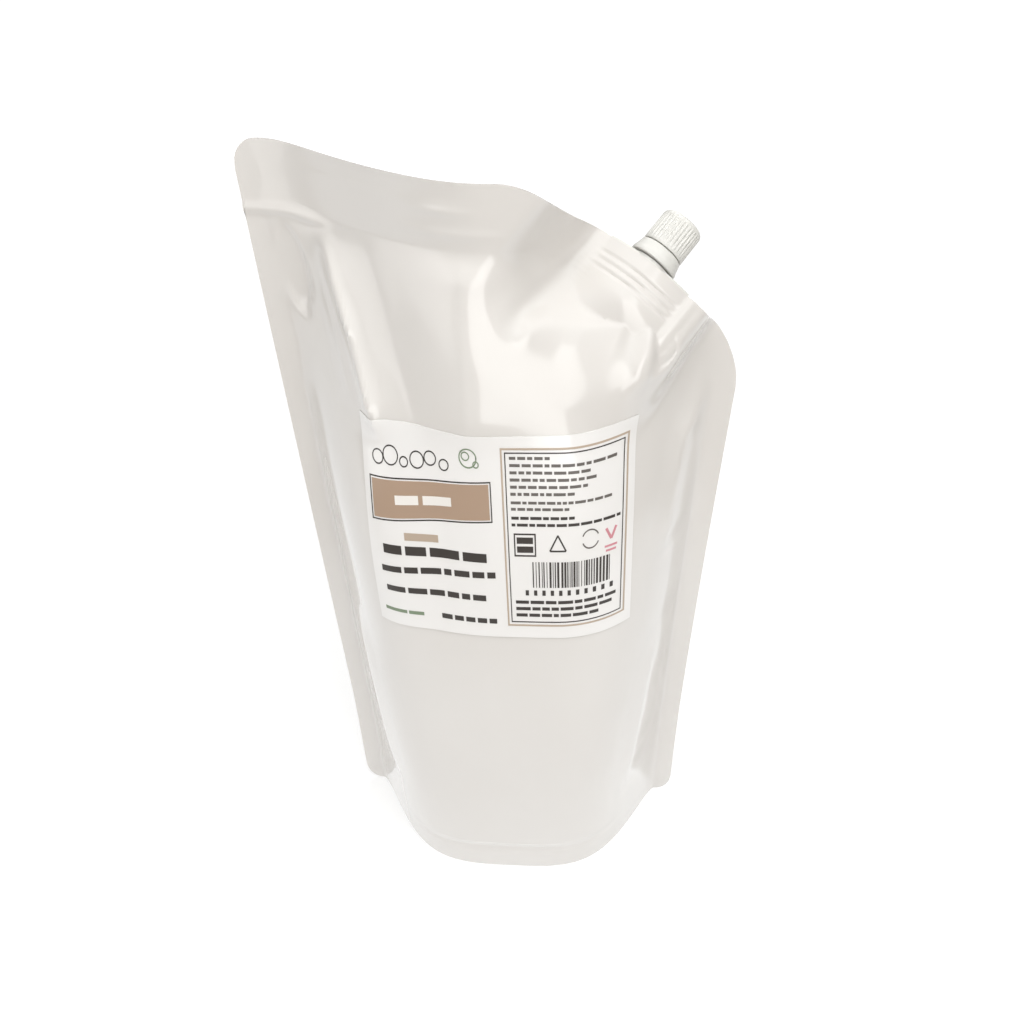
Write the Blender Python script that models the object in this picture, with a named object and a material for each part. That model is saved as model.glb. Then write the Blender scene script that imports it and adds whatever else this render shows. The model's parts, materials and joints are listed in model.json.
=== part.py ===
"""A one-litre hand soap refill pack: a spouted stand-up pouch, full and closed.

Five pieces: the filled pouch (one sealed solid), the moulded spout welded into its cut-off corner,
the screw cap, the tamper ring that stays on the neck, and the paper label on the front.
Metres, +Z up. The pouch stands on z = 0 with the middle of its base at the origin, front towards -Y.

The film is described by two flat coordinates: s across the pouch, from -WIDTH/2 to WIDTH/2, and t up
from the bottom hem, from 0 to HEIGHT. pouch_points() lays that flat outline out in space.
"""

import math

import bmesh
import bpy
import numpy as np
from mathutils import Matrix

MM = 0.001

# The flat pouch, in millimetres
WIDTH = 180.0
HEIGHT = 273.0
SIDE_SEAL = 9.0
TOP_SEAL = 20.0
FILM = 0.8                # the two films of a seal, with their weld
SLANT_START = 14.0        # s where the top edge ends and the slanted corner begins
SHOULDER = 205.0          # t where the slanted corner meets the side
CORNER_TOP = 9.0
CORNER_SLANT = 10.0
CORNER_SHOULDER = 14.0
CORNER_BASE = 9.0

# The filled pouch
BASE_HALF_WIDTH = 67.5
TOP_HALF_WIDTH = 87.4
WIDENING = 1.54           # power of the height at which the pouch widens upwards
BASE_HALF_DEPTH = 44.0
BELLY = 6.0               # fullness above the base
LEAN_MIDDLE = -0.7        # how far the top edge stands back, at its middle, left and right
LEAN_LEFT = 45.5
LEAN_RIGHT = 41.0
BASE_WING = -3.0          # the bottom corners of the side seals curl forward

# The underside: hem, groove and the gusset film that sags to the floor
HEM = 0.9
GROOVE_DEPTH = 6.0
PATCH_INSET = 17.0        # from the hem to the flat patch that the pack rests on

# The spout, in its own frame: X along the slanted edge, Y to the back, Z out of the pouch
SPOUT_AT = (47.7, 16.9, 234.9)
SPOUT_AXIS = (0.619, 0.471, 0.629)
SPOUT_EDGE = (0.780, -0.400, -0.480)
SPOUT_S = 47.5            # s where its axis crosses the slanted edge
BOAT_LENGTH = 30.0
BOAT_THICK = 11.6
BOAT_DEEP = 10.5
BOAT_TIP = 0.3            # half thickness at the boat's tips
BOAT_WALL = 0.8           # film over the boat
BOAT_TOP = 0.8            # how far the boat stands out of the film
RIB_PITCH = 2.4
RIB_OUT = 0.5
BORE = 8.6
NECK = 10.0
NECK_TOP = 14.0
THREAD = 11.4
FLANGE = 13.4
RING_LOW = 1.4
RING_HIGH = 6.0
RING_WIDE = 16.2
CAP_LOW = 6.3
CAP_HIGH = 17.2
CAP_WIDE = 14.2
CAP_WALL = 1.0
CAP_ROUND = 1.8
CAP_RIBS = 34
CAP_RIB_DEEP = 0.28
PLUG_WALL = 1.0
PLUG_DEEP = 3.2
GAP = 0.3

# The label on the front
LABEL_WIDE = 104.0
LABEL_TALL = 72.0
LABEL_LEFT = -50.5        # s of its left edge
LABEL_LOW = 126.5         # t of its lower edge
LABEL_COLUMNS = 26
LABEL_ROWS = 16
LABEL_GAP = 0.55
LABEL_THICK = 0.3

COLUMNS = 50
ROWS = 46
ROUND_STEPS = 40


def ease(x):
    """0 below 0, 1 above 1, and a smooth S between."""
    x = np.clip(x, 0.0, 1.0)
    return x * x * (3.0 - 2.0 * x)


def hump(x):
    """1 at 0, falling smoothly to 0 at -1 and 1."""
    return 1.0 - ease(np.abs(x))


# ---------------------------------------------------------------- the flat outline

def slant_t(s):
    """Height of the slanted edge's straight line at s."""
    return HEIGHT + (s - SLANT_START) * (SHOULDER - HEIGHT) / (WIDTH / 2 - SLANT_START)


def top_of(s):
    """The outline's upper edge: level, then slanted, with its corners rounded."""
    smaller = HEIGHT - slant_t(s)
    soft = CORNER_SLANT
    over = np.where(smaller > soft, smaller, np.where(smaller < -soft, 0.0, (smaller + soft) ** 2 / (4 * soft)))
    top = HEIGHT - over
    left = np.clip(CORNER_TOP - (s + WIDTH / 2), 0.0, CORNER_TOP)
    top -= CORNER_TOP - np.sqrt(CORNER_TOP ** 2 - left ** 2)
    right = np.clip(CORNER_SHOULDER - (WIDTH / 2 - s), 0.0, CORNER_SHOULDER)
    return top - 0.9 * (CORNER_SHOULDER - np.sqrt(CORNER_SHOULDER ** 2 - right ** 2))


def bottom_of(s):
    """The outline's lower edge: straight, with rounded corners."""
    near = np.clip(CORNER_BASE - (WIDTH / 2 - np.abs(s)), 0.0, CORNER_BASE)
    return CORNER_BASE - np.sqrt(CORNER_BASE ** 2 - near ** 2)


# ---------------------------------------------------------------- the filled shape

def half_depth(s, t):
    """How far each film stands off the middle surface: a rounded lens at every height."""
    up = np.clip(t / (HEIGHT - TOP_SEAL), 0.0, 1.0)
    middle = BASE_HALF_DEPTH * (1.0 - up ** 1.9) + BELLY * np.sin(np.pi * up) * (1.0 - up)
    across = np.clip(np.abs(s) / (WIDTH / 2 - SIDE_SEAL), 0.0, 1.0)
    square = 3.7 + 1.2 * ease(up / 0.4) - 2.4 * ease((up - 0.6) / 0.4)
    edge = 1.5 - 0.2 * ease(1.3 * up)
    # the slanted seal closes the pouch as the side seals do
    below = np.clip((slant_t(s) - t) / 60.0 - 0.2, 0.0, 1.0)
    return middle * (1.0 - across ** square) ** edge * ease(below) ** 0.7


def ridge(s, t, start, end, height, wide_right, wide_left):
    """A fold of the film: highest along a line, with a slope to each side, fading at both ends."""
    ds, dt = end[0] - start[0], end[1] - start[1]
    length = math.hypot(ds, dt)
    share = ((s - start[0]) * ds + (t - start[1]) * dt) / length ** 2
    across = ((s - start[0]) * dt - (t - start[1]) * ds) / length
    wide = np.where(across > 0, wide_right, wide_left)
    tent = np.clip(1.0 - np.sqrt(across ** 2 + 0.16) / wide, 0.0, 1.0)
    return height * tent ** 1.5 * ease(4.0 * share) * ease(4.0 * (1.0 - share))


def dent(s, t, centre, wide, tall, deep, turn=0.0):
    """An oval hollow (deep below 0) or swelling, turned by an angle in degrees."""
    c, n = math.cos(math.radians(turn)), math.sin(math.radians(turn))
    a = ((s - centre[0]) * c + (t - centre[1]) * n) / wide
    b = (-(s - centre[0]) * n + (t - centre[1]) * c) / tall
    return deep * hump(np.sqrt(a ** 2 + b ** 2))


def inside_seals(s, t):
    """1 on the filled body, 0 on the seals."""
    side = ease((WIDTH / 2 - SIDE_SEAL - np.abs(s)) / 8.0)
    return side * ease((HEIGHT - TOP_SEAL - t) / 10.0) * ease((slant_t(s) - t - 10.0) / 14.0)


def front_folds(s, t):
    """The front film's broad folds and hollows, in millimetres outwards."""
    body = dent(s, t, (-52.0, 160.0), 34.0, 66.0, 7.0)
    body += ridge(s, t, (-60.0, 251.0), (-42.0, 188.0), 5.0, 9.0, 16.0)
    body += dent(s, t, (-75.0, 232.0), 9.0, 20.0, -4.5, 12.0)
    body += ridge(s, t, (-8.0, 262.0), (-9.0, 190.0), 2.6, 24.0, 34.0)
    body += dent(s, t, (53.0, 217.0), 8.0, 15.0, -5.0, -12.0)
    body += ridge(s, t, (86.0, 204.0), (71.0, 178.0), 2.6, 10.0, 14.0)
    return body * inside_seals(s, t)


def back_folds(s, t):
    """The back film's broad folds and hollows."""
    body = ridge(s, t, (40.0, 250.0), (18.0, 150.0), 3.5, 18.0, 12.0)
    body += ridge(s, t, (-48.0, 246.0), (-30.0, 160.0), 3.0, 12.0, 16.0)
    body += dent(s, t, (-66.0, 224.0), 10.0, 24.0, -3.0, 10.0)
    return body * inside_seals(s, t)


def pouch_points(s, t):
    """Middle surface and half depth at film places (s, t): x, y and z are arrays of their shape.

    Across, the pouch narrows towards its base, because a full lens is less wide than the flat film.
    Up, the film keeps its length: the part of each step that goes sideways is taken from its rise.
    """
    steps = np.linspace(0.0, 1.0, 121)
    path = t[..., None] * steps
    side = np.broadcast_to(s[..., None], path.shape)
    v = path / HEIGHT
    half = BASE_HALF_WIDTH + (TOP_HALF_WIDTH - BASE_HALF_WIDTH) * v ** WIDENING
    x = side * half / (WIDTH / 2)
    left = ease(-side / (WIDTH / 2))
    right = ease((side - 25.0) / 70.0)
    y = LEAN_MIDDLE * v ** 2 + LEAN_LEFT * left * v ** 1.67 + LEAN_RIGHT * right * v ** 1.78
    y = y + BASE_WING * ease(np.abs(side) / 60.0 - 0.4) * (1.0 - ease(v * 5.0))
    depth = half_depth(side, path)
    run = np.diff(x, axis=-1) ** 2 + np.diff(y, axis=-1) ** 2 + np.diff(depth, axis=-1) ** 2
    rise = np.sqrt(np.clip(np.diff(path, axis=-1) ** 2 - run, 0.0, None))
    return x[..., -1], y[..., -1], rise.sum(axis=-1), depth[..., -1]


def spout_frame():
    """The spout's place and its three unit axes: along the edge, to the back, and outwards."""
    out = np.array(SPOUT_AXIS)
    out /= np.linalg.norm(out)
    edge = np.array(SPOUT_EDGE)
    edge -= out * (edge @ out)
    edge /= np.linalg.norm(edge)
    return np.array(SPOUT_AT), edge, np.cross(out, edge), out


def spout_place(s, t):
    """Film places measured from the spout: along the slanted edge, and out across it."""
    slope = math.atan2(HEIGHT - SHOULDER, WIDTH / 2 - SLANT_START)
    ds = s - SPOUT_S
    dt = t - slant_t(SPOUT_S)
    return ds * math.cos(slope) - dt * math.sin(slope), ds * math.sin(slope) + dt * math.cos(slope)


def boat_half(u, grow=0.0):
    """Half thickness of the spout's boat at u along the edge: a pointed lens with blunt tips."""
    lens = np.clip(1.0 - (np.abs(u) / (BOAT_LENGTH / 2)) ** 1.6, 0.0, 1.0)
    return (BOAT_THICK / 2 - BOAT_TIP) * lens + BOAT_TIP + grow


def films(s, t, lift=0.0):
    """Front and back film points at (s, t), in millimetres; lift stands outside the front film."""
    x, y, z, depth = pouch_points(s, t)
    u, w = spout_place(s, t)
    place, edge, back, out = spout_frame()
    stiff = ease((41.0 - np.abs(u)) / 24.0) * ease((w + 42.0) / 28.0)
    flat = place + u[..., None] * edge + w[..., None] * out
    middle = np.stack([x, y, z], axis=-1)
    middle = middle + (flat - middle) * stiff[..., None]
    towards = np.array([0.0, 1.0, 0.0]) + (back - np.array([0.0, 1.0, 0.0])) * stiff[..., None]
    towards /= np.linalg.norm(towards, axis=-1, keepdims=True)
    wrap = boat_half(u, GAP + BOAT_WALL) * ease((BOAT_LENGTH / 2 + 6.0 - np.abs(u)) / 4.0)
    wrap = wrap * ease((w + 28.0) / 15.0)
    soft = 1.0 - ease((w + 16.0) / 6.0)
    front_depth = np.maximum(np.maximum(depth + FILM / 2 + front_folds(s, t) * soft, wrap), FILM / 2) + lift
    back_depth = np.maximum(np.maximum(depth + FILM / 2 + back_folds(s, t) * soft, wrap), FILM / 2)
    return middle - towards * front_depth[..., None], middle + towards * back_depth[..., None]


# ---------------------------------------------------------------- Blender helpers

def clear_scene():
    for old in list(bpy.data.objects):
        bpy.data.objects.remove(old, do_unlink=True)


def material(name, colour, roughness):
    made = bpy.data.materials.new(name)
    made.use_nodes = True
    shader = made.node_tree.nodes["Principled BSDF"]
    shader.inputs["Base Color"].default_value = (*colour, 1.0)
    shader.inputs["Roughness"].default_value = roughness
    return made


def add_object(name, points_mm, faces, finish):
    """A mesh object from points in millimetres, with its faces turned outwards."""
    mesh = bpy.data.meshes.new(name)
    mesh.from_pydata((np.asarray(points_mm) * MM).tolist(), [], faces)
    shape = bmesh.new()
    shape.from_mesh(mesh)
    bmesh.ops.remove_doubles(shape, verts=shape.verts, dist=0.002 * MM)
    bmesh.ops.recalc_face_normals(shape, faces=shape.faces)
    shape.to_mesh(mesh)
    shape.free()
    mesh.materials.append(finish)
    made = bpy.data.objects.new(name, mesh)
    bpy.context.scene.collection.objects.link(made)
    mesh.shade_smooth()
    mesh.set_sharp_from_angle(angle=math.radians(40))
    return made


def grid_faces(rows, columns, start=0, turn=False):
    """Quads of a rows x columns grid of points numbered row by row from start."""
    faces = []
    for i in range(rows - 1):
        for j in range(columns - 1):
            a = start + i * columns + j
            quad = (a, a + 1, a + columns + 1, a + columns)
            faces.append(quad[::-1] if turn else quad)
    return faces


def turned(name, profile, finish):
    """A closed ring turned round Z from a closed outline of (radius, height) points."""
    points = []
    for k in range(ROUND_STEPS):
        angle = 2 * math.pi * k / ROUND_STEPS
        for radius, height in profile:
            points.append((radius * math.cos(angle), radius * math.sin(angle), height))
    count = len(profile)
    faces = []
    for k in range(ROUND_STEPS):
        after = (k + 1) % ROUND_STEPS
        for i in range(count):
            j = (i + 1) % count
            faces.append((k * count + i, after * count + i, after * count + j, k * count + j))
    return add_object(name, points, faces, finish)


def cut(target, cutter, operation="DIFFERENCE"):
    """A Boolean of target with a hidden helper, left as a live modifier."""
    cutter.hide_render = True
    cutter.display_type = "WIRE"
    change = target.modifiers.new(operation.title(), "BOOLEAN")
    change.operation = operation
    change.object = cutter


def put_on_spout(piece, empty):
    """Parents a piece modelled in the spout's frame to the empty that holds that frame."""
    piece.parent = empty


# ---------------------------------------------------------------- pouch

def pouch_columns():
    """s of the film's columns: closer together at the side seals and where the film wraps the boat."""
    fine = np.linspace(-WIDTH / 2, WIDTH / 2, 721)
    crowd = 1.0 + 1.2 * ease((np.abs(fine) - 70.0) / 12.0) + 1.6 * hump((fine - 52.0) / 30.0)
    count = np.concatenate([[0.0], np.cumsum((crowd[1:] + crowd[:-1]) / 2)])
    return np.interp(np.linspace(0.0, count[-1], COLUMNS + 1), count, fine)


def underside(front, back):
    """Rows of points from the front hem to the back hem: hem, groove and the flat sagging patch."""
    width = np.abs(back[:, 1] - front[:, 1]) / 2
    insets = ((HEM, 0.0), (HEM + 0.5, 0.8), (4.5, 1.0), (9.0, 0.62), (PATCH_INSET, 0.0))
    rows = []
    for inset, height in insets:
        share = np.minimum(inset, width * 0.9 * inset / PATCH_INSET) / np.maximum(width, 1e-6)
        deep = GROOVE_DEPTH * height * ease((width - 3.0) / 16.0)
        row = front + (back - front) * (share / 2)[:, None]
        row[:, 2] = np.minimum(front[:, 2], back[:, 2]) + deep
        rows.append(row)
    mirrored = []
    for row in rows[::-1]:
        other = row.copy()
        other[:, :2] = front[:, :2] + back[:, :2] - row[:, :2]
        mirrored.append(other)
    centre = (front + back) / 2
    centre[:, 2] = np.minimum(front[:, 2], back[:, 2])
    return [front] + rows + [centre] + mirrored + [back]


def make_pouch(finish):
    s = pouch_columns()
    low = bottom_of(s)
    high = top_of(s)
    share = np.linspace(0.0, 1.0, ROWS + 1)[:, None]
    t = low + (high - low) * share
    front, back = films(np.broadcast_to(s, t.shape), t)
    columns = len(s)
    under = np.array(underside(front[0], back[0]))
    points = np.concatenate([front.reshape(-1, 3), back.reshape(-1, 3), under.reshape(-1, 3)])
    faces = grid_faces(ROWS + 1, columns)
    faces += grid_faces(ROWS + 1, columns, (ROWS + 1) * columns, True)
    faces += grid_faces(len(under), columns, 2 * (ROWS + 1) * columns, True)
    base_back = (ROWS + 1) * columns
    first = 2 * (ROWS + 1) * columns
    for j in (0, columns - 1):
        # the lowest side face takes in the end of the underside
        chain = [first + k * columns + j for k in range(len(under) - 1, -1, -1)]
        faces.append([j + columns, base_back + j + columns] + chain)
        for i in range(1, ROWS):
            a = i * columns + j
            faces.append((a, a + columns, base_back + a + columns, base_back + a))
    top = ROWS * columns
    for j in range(columns - 1):
        faces.append((top + j, top + j + 1, base_back + top + j + 1, base_back + top + j))
    return add_object("pouch", points, faces, finish)


def boat(name, grow, low, high, finish, ribs=False):
    """The boat-shaped base of the spout between two heights, grown all round by grow."""
    points = []
    reach = BOAT_LENGTH / 2 + grow
    levels = [(low, 0.0)]
    if ribs:
        for k in range(3):
            groove = low + (k + 0.6) * RIB_PITCH
            levels += [(groove, 0.0), (groove + 0.15, -RIB_OUT), (groove + 0.85, -RIB_OUT), (groove + 1.0, 0.0)]
    levels.append((high, 0.0))
    side = 16
    u = -reach * np.cos(np.linspace(0.0, math.pi, side + 1))
    for z, out in levels:
        half = np.maximum(boat_half(u, grow + out), BOAT_TIP)
        for k in range(side + 1):
            points.append((u[k], -half[k], z))
        for k in range(side, -1, -1):
            points.append((u[k], half[k], z))
    ring = 2 * (side + 1)
    faces = []
    for i in range(len(levels) - 1):
        for k in range(ring):
            a = i * ring + k
            b = i * ring + (k + 1) % ring
            faces.append((a, b, b + ring, a + ring))
    faces.append(list(range(ring))[::-1])
    faces.append([(len(levels) - 1) * ring + k for k in range(ring)])
    return add_object(name, points, faces, finish)


def make_spout(finish, empty):
    """Boat with ribs, flange and neck, joined and bored through."""
    body = boat("spout", 0.0, -BOAT_DEEP, BOAT_TOP, finish, ribs=True)
    neck_outline = [
        (0.0, -BOAT_DEEP + 2.0),
        (NECK / 2, -BOAT_DEEP + 2.0),
        (NECK / 2, 0.0),
        (FLANGE / 2, 0.0),
        (FLANGE / 2, RING_LOW - GAP),
        (NECK / 2, RING_LOW - GAP),
        (NECK / 2, RING_HIGH + 0.7),
        (THREAD / 2, RING_HIGH + 1.0),
        (THREAD / 2, NECK_TOP - 1.2),
        (NECK / 2, NECK_TOP - 0.6),
        (NECK / 2 - 0.2, NECK_TOP),
        (0.0, NECK_TOP),
    ]
    neck = spun("neck_blank", neck_outline, finish)
    bore = spun("bore_cutter", [(0.0, -BOAT_DEEP - 2), (BORE / 2, -BOAT_DEEP - 2),
                                (BORE / 2, NECK_TOP + 2), (0.0, NECK_TOP + 2)], finish)
    cut(body, neck, "UNION")
    cut(body, bore)
    for piece in (body, neck, bore):
        put_on_spout(piece, empty)
    return body


def spun(name, outline, finish):
    """A solid turned round Z from an outline that starts and ends on the axis."""
    points = [(0.0, 0.0, outline[0][1])]
    for radius, height in outline[1:-1]:
        for k in range(ROUND_STEPS):
            angle = 2 * math.pi * k / ROUND_STEPS
            points.append((radius * math.cos(angle), radius * math.sin(angle), height))
    points.append((0.0, 0.0, outline[-1][1]))
    rings = len(outline) - 2
    faces = []
    for k in range(ROUND_STEPS):
        after = (k + 1) % ROUND_STEPS
        faces.append((0, 1 + after, 1 + k))
        for i in range(rings - 1):
            a = 1 + i * ROUND_STEPS
            faces.append((a + k, a + after, a + ROUND_STEPS + after, a + ROUND_STEPS + k))
        last = 1 + (rings - 1) * ROUND_STEPS
        faces.append((last + k, last + after, len(points) - 1))
    return add_object(name, points, faces, finish)


def make_ring(finish, empty):
    """The tamper ring: a short cone round the neck that rests over the flange."""
    inner = NECK / 2 + 0.5
    ring = turned("tamper_ring", [
        (inner, RING_LOW),
        (RING_WIDE / 2 - 0.2, RING_LOW),
        (RING_WIDE / 2, RING_LOW + 0.3),
        (RING_WIDE / 2 - 0.1, RING_LOW + 1.6),
        (CAP_WIDE / 2 + 0.1, RING_HIGH - 0.2),
        (CAP_WIDE / 2 - 0.1, RING_HIGH),
        (inner, RING_HIGH),
    ], finish)
    put_on_spout(ring, empty)
    return ring


def cap_rib(k, radius, height):
    """Change of the skirt's radius that makes the ribs: every other step stands in."""
    if radius < CAP_WIDE / 2 - CAP_WALL / 2 or height > CAP_HIGH - CAP_ROUND:
        return 0.0
    return -CAP_RIB_DEEP if k % 2 else 0.0


def make_cap(finish, empty):
    """A hollow cap with a rounded top edge and a plug that seals the bore."""
    outer = CAP_WIDE / 2
    inner = outer - CAP_WALL
    roof = NECK_TOP + 0.6
    plug = BORE / 2 - GAP - 0.05
    outline = [(0.0, CAP_HIGH)]
    for k in range(5, -1, -1):
        angle = math.pi / 2 * k / 5
        outline.append((outer - 0.15 - CAP_ROUND + CAP_ROUND * math.cos(angle),
                        CAP_HIGH - CAP_ROUND + CAP_ROUND * math.sin(angle)))
    outline += [
        (outer, CAP_LOW + 0.2),
        (outer - 0.2, CAP_LOW),
        (inner - 0.1, CAP_LOW),
        (inner - 0.1, CAP_LOW + 0.4),
        (inner, roof),
        (plug, roof),
        (plug - 0.1, roof - PLUG_DEEP),
        (plug - PLUG_WALL, roof - PLUG_DEEP),
        (plug - PLUG_WALL, roof),
        (0.0, roof),
    ]
    steps = 2 * CAP_RIBS
    points = [(0.0, 0.0, outline[0][1])]
    for radius, height in outline[1:-1]:
        for k in range(steps):
            r = radius + cap_rib(k, radius, height)
            angle = 2 * math.pi * k / steps
            points.append((r * math.cos(angle), r * math.sin(angle), height))
    points.append((0.0, 0.0, outline[-1][1]))
    rings = len(outline) - 2
    faces = []
    for k in range(steps):
        after = (k + 1) % steps
        faces.append((0, 1 + k, 1 + after))
        for i in range(rings - 1):
            a = 1 + i * steps
            faces.append((a + k, a + steps + k, a + steps + after, a + after))
        last = 1 + (rings - 1) * steps
        faces.append((last + after, last + k, len(points) - 1))
    cap = add_object("cap", points, faces, finish)
    put_on_spout(cap, empty)
    return cap


def cut_pocket(pouch, finish, empty):
    """The pocket between the films where the boat sits."""
    cutter = boat("pocket_cutter", GAP, -BOAT_DEEP - GAP, 12.0, finish)
    put_on_spout(cutter, empty)
    cut(pouch, cutter)


def label_grid():
    """Label points in film places: a rectangle that widens a little towards its foot, where the film rounds away."""
    x = np.linspace(0.0, LABEL_WIDE, LABEL_COLUMNS + 1)
    y = np.linspace(0.0, LABEL_TALL, LABEL_ROWS + 1)
    x, y = np.meshgrid(x, y)
    return LABEL_LEFT + x * (0.975 + 0.04 * (1.0 - y / LABEL_TALL)), LABEL_LOW + y


def make_label(finish):
    """A thin sheet that follows the front film, a hair in front of it."""
    s, t = label_grid()
    low = films(s, t, LABEL_GAP)[0]
    high = films(s, t, LABEL_GAP + LABEL_THICK)[0]
    rows, columns = s.shape
    size = rows * columns
    points = np.concatenate([high.reshape(-1, 3), low.reshape(-1, 3)])
    faces = grid_faces(rows, columns)
    faces += grid_faces(rows, columns, size, True)
    number = np.arange(size).reshape(rows, columns)
    rim = np.concatenate([number[0], number[1:, -1], number[-1, -2::-1], number[-2:0:-1, 0]])
    for k in range(len(rim)):
        a, b = int(rim[k]), int(rim[(k + 1) % len(rim)])
        faces.append((a, size + a, size + b, b))
    return add_object("label", points, faces, finish)


def main():
    clear_scene()
    film = material("white_film", (0.80, 0.78, 0.76), 0.25)
    moulding = material("white_moulding", (0.84, 0.84, 0.81), 0.4)
    paper = material("label_paper", (0.86, 0.85, 0.84), 0.45)
    place, edge, back, out = spout_frame()
    empty = bpy.data.objects.new("spout_frame", None)
    bpy.context.scene.collection.objects.link(empty)
    turn = Matrix(((edge[0], back[0], out[0], 0), (edge[1], back[1], out[1], 0),
                   (edge[2], back[2], out[2], 0), (0, 0, 0, 1)))
    empty.matrix_world = Matrix.Translation(place * MM) @ turn
    pouch = make_pouch(film)
    cut_pocket(pouch, film, empty)
    make_spout(moulding, empty)
    make_ring(moulding, empty)
    make_cap(moulding, empty)
    make_label(paper)


main()
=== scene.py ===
# %% [markdown]
# # A hand soap refill pack
# A filled stand-up pouch of glossy white film, with a small screw spout in its cut-off corner and a paper
# label on its front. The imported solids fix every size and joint. This script gives them their looks: the film
# with its folds, the label with its print, the ribbed cap, the finishes, the light and the camera.

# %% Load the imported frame
import json
import math

import bmesh
import bpy
import mathutils
import numpy as np
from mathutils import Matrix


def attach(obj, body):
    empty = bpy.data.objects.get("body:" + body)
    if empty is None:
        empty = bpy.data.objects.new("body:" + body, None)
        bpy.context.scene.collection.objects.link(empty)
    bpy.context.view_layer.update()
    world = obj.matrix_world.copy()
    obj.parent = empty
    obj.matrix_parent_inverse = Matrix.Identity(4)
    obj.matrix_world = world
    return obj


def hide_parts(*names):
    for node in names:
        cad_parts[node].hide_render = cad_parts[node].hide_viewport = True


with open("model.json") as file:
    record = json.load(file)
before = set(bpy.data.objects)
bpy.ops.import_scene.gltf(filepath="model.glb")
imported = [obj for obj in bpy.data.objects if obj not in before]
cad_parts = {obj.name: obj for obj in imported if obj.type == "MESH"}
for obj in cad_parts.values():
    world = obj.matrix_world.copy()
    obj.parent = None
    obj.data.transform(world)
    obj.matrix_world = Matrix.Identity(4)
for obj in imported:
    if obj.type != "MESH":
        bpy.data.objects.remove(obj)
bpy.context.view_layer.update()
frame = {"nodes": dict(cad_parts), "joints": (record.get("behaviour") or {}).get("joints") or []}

# %% [markdown]
# ## Camera first
# The pack is seen from close by and from above, so its top looks wide and its base narrow. That is strong
# perspective: a short lens near the object. A camera can be aimed with a Track To constraint, but that
# leaves no roll to choose. Here the place is given in metres and the turn as three angles, and its axes
# are worked out from them.

# %% Camera
CAMERA_AT = (0.0313, -0.2598, 0.3547)
CAMERA_YAW = math.radians(-6.15)       # to the left of straight ahead
CAMERA_PITCH = math.radians(37.88)     # down from level
CAMERA_ROLL = math.radians(-2.84)
SENSOR = 36.0                          # width of the sensor, in millimetres
LENS = 32.99                           # focal length, in millimetres


def add_camera():
    """A camera whose axes come from its yaw, pitch and roll: forward, then right and up turned by the roll."""
    yaw, pitch, roll = CAMERA_YAW, CAMERA_PITCH, CAMERA_ROLL
    forward = np.array([math.sin(yaw) * math.cos(pitch), math.cos(yaw) * math.cos(pitch), -math.sin(pitch)])
    level = np.array([math.cos(yaw), -math.sin(yaw), 0.0])
    above = np.cross(level, forward)
    right = math.cos(roll) * level + math.sin(roll) * above
    up = math.cos(roll) * above - math.sin(roll) * level
    data = bpy.data.cameras.new("camera")
    data.sensor_width = SENSOR
    data.lens = LENS
    data.clip_start = 0.01
    camera = bpy.data.objects.new("camera", data)
    bpy.context.scene.collection.objects.link(camera)
    turn = np.eye(4)
    turn[:3, 0], turn[:3, 1], turn[:3, 2], turn[:3, 3] = right, up, -forward, CAMERA_AT
    camera.matrix_world = mathutils.Matrix(turn.tolist())
    bpy.context.scene.camera = camera
    return camera


add_camera()
print("camera at", CAMERA_AT, "with a", LENS, "mm lens")

# %% [markdown]
# ## Flat film, then filled film
# A pouch is two sheets of laminate welded at their sides and top, with a folded gusset below. A cloth
# simulation blown up by pressure could fill it, but its folds fall where they like. Film hardly stretches,
# so here the pouch is described flat, by s across and t up in millimetres, and then laid out in space.
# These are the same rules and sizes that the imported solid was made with.

# %% Driving sizes of the pouch, in millimetres
MM = 0.001
WIDTH = 180.0
HEIGHT = 273.0
SIDE_SEAL = 9.0
TOP_SEAL = 20.0
FILM = 0.5
SLANT_START = 14.0
SHOULDER = 205.0
CORNER_TOP = 9.0
CORNER_SLANT = 10.0
CORNER_SHOULDER = 14.0
CORNER_BASE = 9.0
BASE_HALF_WIDTH = 67.5
TOP_HALF_WIDTH = 87.4
WIDENING = 1.54
BASE_HALF_DEPTH = 44.0
BELLY = 6.0
LEAN_MIDDLE = -0.7
LEAN_LEFT = 45.5
LEAN_RIGHT = 41.0
BASE_WING = -3.0

BOAT_LENGTH = 30.0
BOAT_THICK = 11.6
BOAT_TIP = 0.3
BOAT_S = 47.5             # s where the spout's axis crosses the slanted edge
WRAP = 1.1                # the film over the boat, with its weld
print("flat film", WIDTH, "by", HEIGHT, "mm")

# %% Two soft steps that most of the shapes below are made of


def ease(x):
    """0 below 0, 1 above 1, and the smooth S of 3x^2 - 2x^3 between."""
    x = np.clip(x, 0.0, 1.0)
    return x * x * (3.0 - 2.0 * x)


def hump(x):
    """1 at 0, falling by the same S to 0 at -1 and 1."""
    return 1.0 - ease(np.abs(x))


print("ease at a quarter", ease(0.25), "and hump at a quarter", hump(0.25))

# %% The outline of the flat film


def slant_t(s):
    """The slanted edge's straight line: its t at s."""
    return HEIGHT + (s - SLANT_START) * (SHOULDER - HEIGHT) / (WIDTH / 2 - SLANT_START)


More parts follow.
